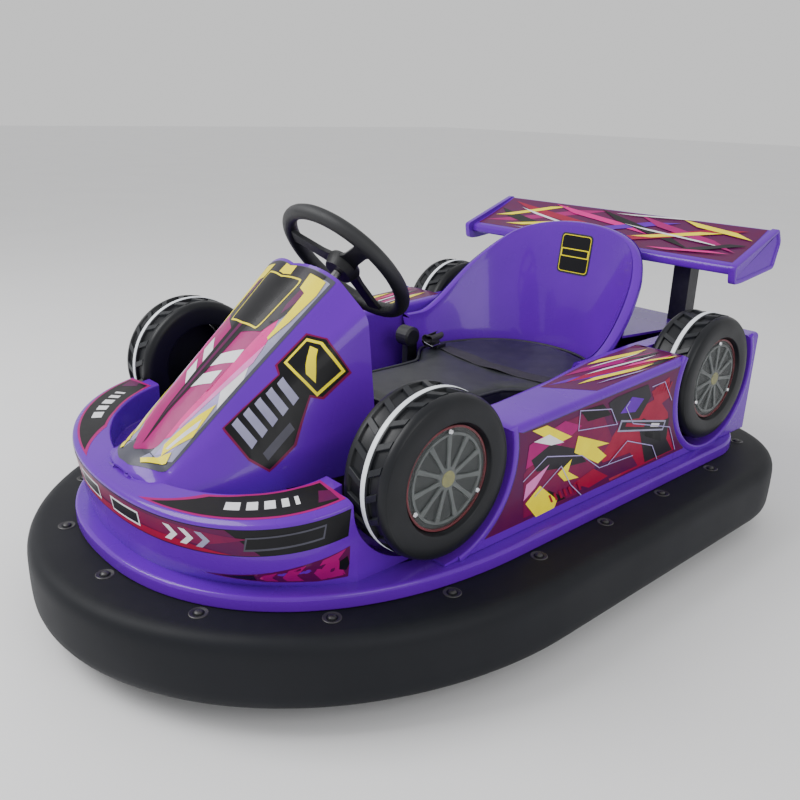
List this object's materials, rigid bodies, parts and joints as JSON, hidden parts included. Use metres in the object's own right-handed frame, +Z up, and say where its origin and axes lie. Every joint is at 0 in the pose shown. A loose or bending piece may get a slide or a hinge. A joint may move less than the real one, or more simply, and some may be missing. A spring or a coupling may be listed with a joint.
{
  "type": "bumper car",
  "caption": "Battery bumper car with a rubber bumper ring, a purple kart-style body, four dummy show tyres, a bucket seat, a lap belt and a rear wing.",
  "frame": {"origin": "on the floor, under the middle of the bumper ring", "axes": "+Z up, -Y towards the nose, +X towards the car's left side"},
  "size_m": [1.28, 1.836, 0.8439],
  "materials": {
    "gelcoat": "gloss",
    "bumper_rubber": "satin",
    "black_plastic": "satin",
    "clear_cover": "clear, over a spoked disc",
    "vinyl": "satin",
    "webbing": "woven",
    "foam": "matt",
    "black_steel": "satin",
    "bare_steel": "satin",
    "road_rubber": "matt",
    "battery_case": "matt"
  },
  "bodies": {
    "car_body": {"accelerator_pedal": "black_steel", "base_shell": "gelcoat", "battery": "battery_case", "belt_buckle": "bare_steel", "belt_retractor": "black_plastic", "belt_webbing": "webbing", "bumper_ring": "bumper_rubber", "chassis_frame": "black_steel", "cowl_shell": "gelcoat", "floor_pan": "black_steel", "front_tyre_left": "black_plastic", "front_tyre_right": "black_plastic", "front_wheel_cover_left": "clear_cover", "front_wheel_cover_right": "clear_cover", "nose_shell": "gelcoat", "rear_deck": "gelcoat", "rear_tyre_left": "black_plastic", "rear_tyre_right": "black_plastic", "rear_wheel_bracket_left": "black_steel", "rear_wheel_bracket_right": "black_steel", "rear_wheel_cover_left": "clear_cover", "rear_wheel_cover_right": "clear_cover", "rear_wing": "gelcoat", "seat_base": "black_plastic", "seat_cushion": "vinyl", "seat_shell": "gelcoat", "side_pod_left": "gelcoat", "side_pod_right": "gelcoat", "steering_column": "black_steel", "turntable_plate": "black_steel", "wing_endplate_left": "gelcoat", "wing_endplate_right": "gelcoat", "wing_post_left": "black_steel", "wing_post_right": "black_steel"},
    "steering": {"steering_wheel": "foam", "steering_shaft": "bare_steel"},
    "drive_unit": {"drive_fork": "black_steel", "drive_motor": "black_steel"},
    "drive_wheel": {"drive_wheel_tyre": "road_rubber", "drive_wheel_hub": "bare_steel"},
    "rear_wheel_left": {"rear_road_wheel_left_tyre": "road_rubber", "rear_road_wheel_left_hub": "bare_steel"},
    "rear_wheel_right": {"rear_road_wheel_right_tyre": "road_rubber", "rear_road_wheel_right_hub": "bare_steel"}
  },
  "joints": [
    {"name": "steering_turn", "type": "hinge", "parent": "car_body", "child": "steering", "pos_m": [0, -0.203, 0.711], "axis": [0, 0.7581, 0.6521], "range_deg": [-180, 180]},
    {"name": "drive_yaw", "type": "hinge", "parent": "car_body", "child": "drive_unit", "pos_m": [0, -0.64, 0.09], "axis": [0, 0, 1], "range_deg": [-180, 180]},
    {"name": "drive_spin", "type": "hinge", "parent": "drive_unit", "child": "drive_wheel", "pos_m": [0, -0.64, 0.09], "axis": [1, 0, 0], "continuous": true},
    {"name": "rear_left_spin", "type": "hinge", "parent": "car_body", "child": "rear_wheel_left", "pos_m": [0.3, 0.61, 0.09], "axis": [1, 0, 0], "continuous": true},
    {"name": "rear_right_spin", "type": "hinge", "parent": "car_body", "child": "rear_wheel_right", "pos_m": [-0.3, 0.61, 0.09], "axis": [1, 0, 0], "continuous": true}
  ],
  "couplings": [
    {"joint": "drive_yaw", "follows": "steering_turn", "ratio": 1}
  ]
}
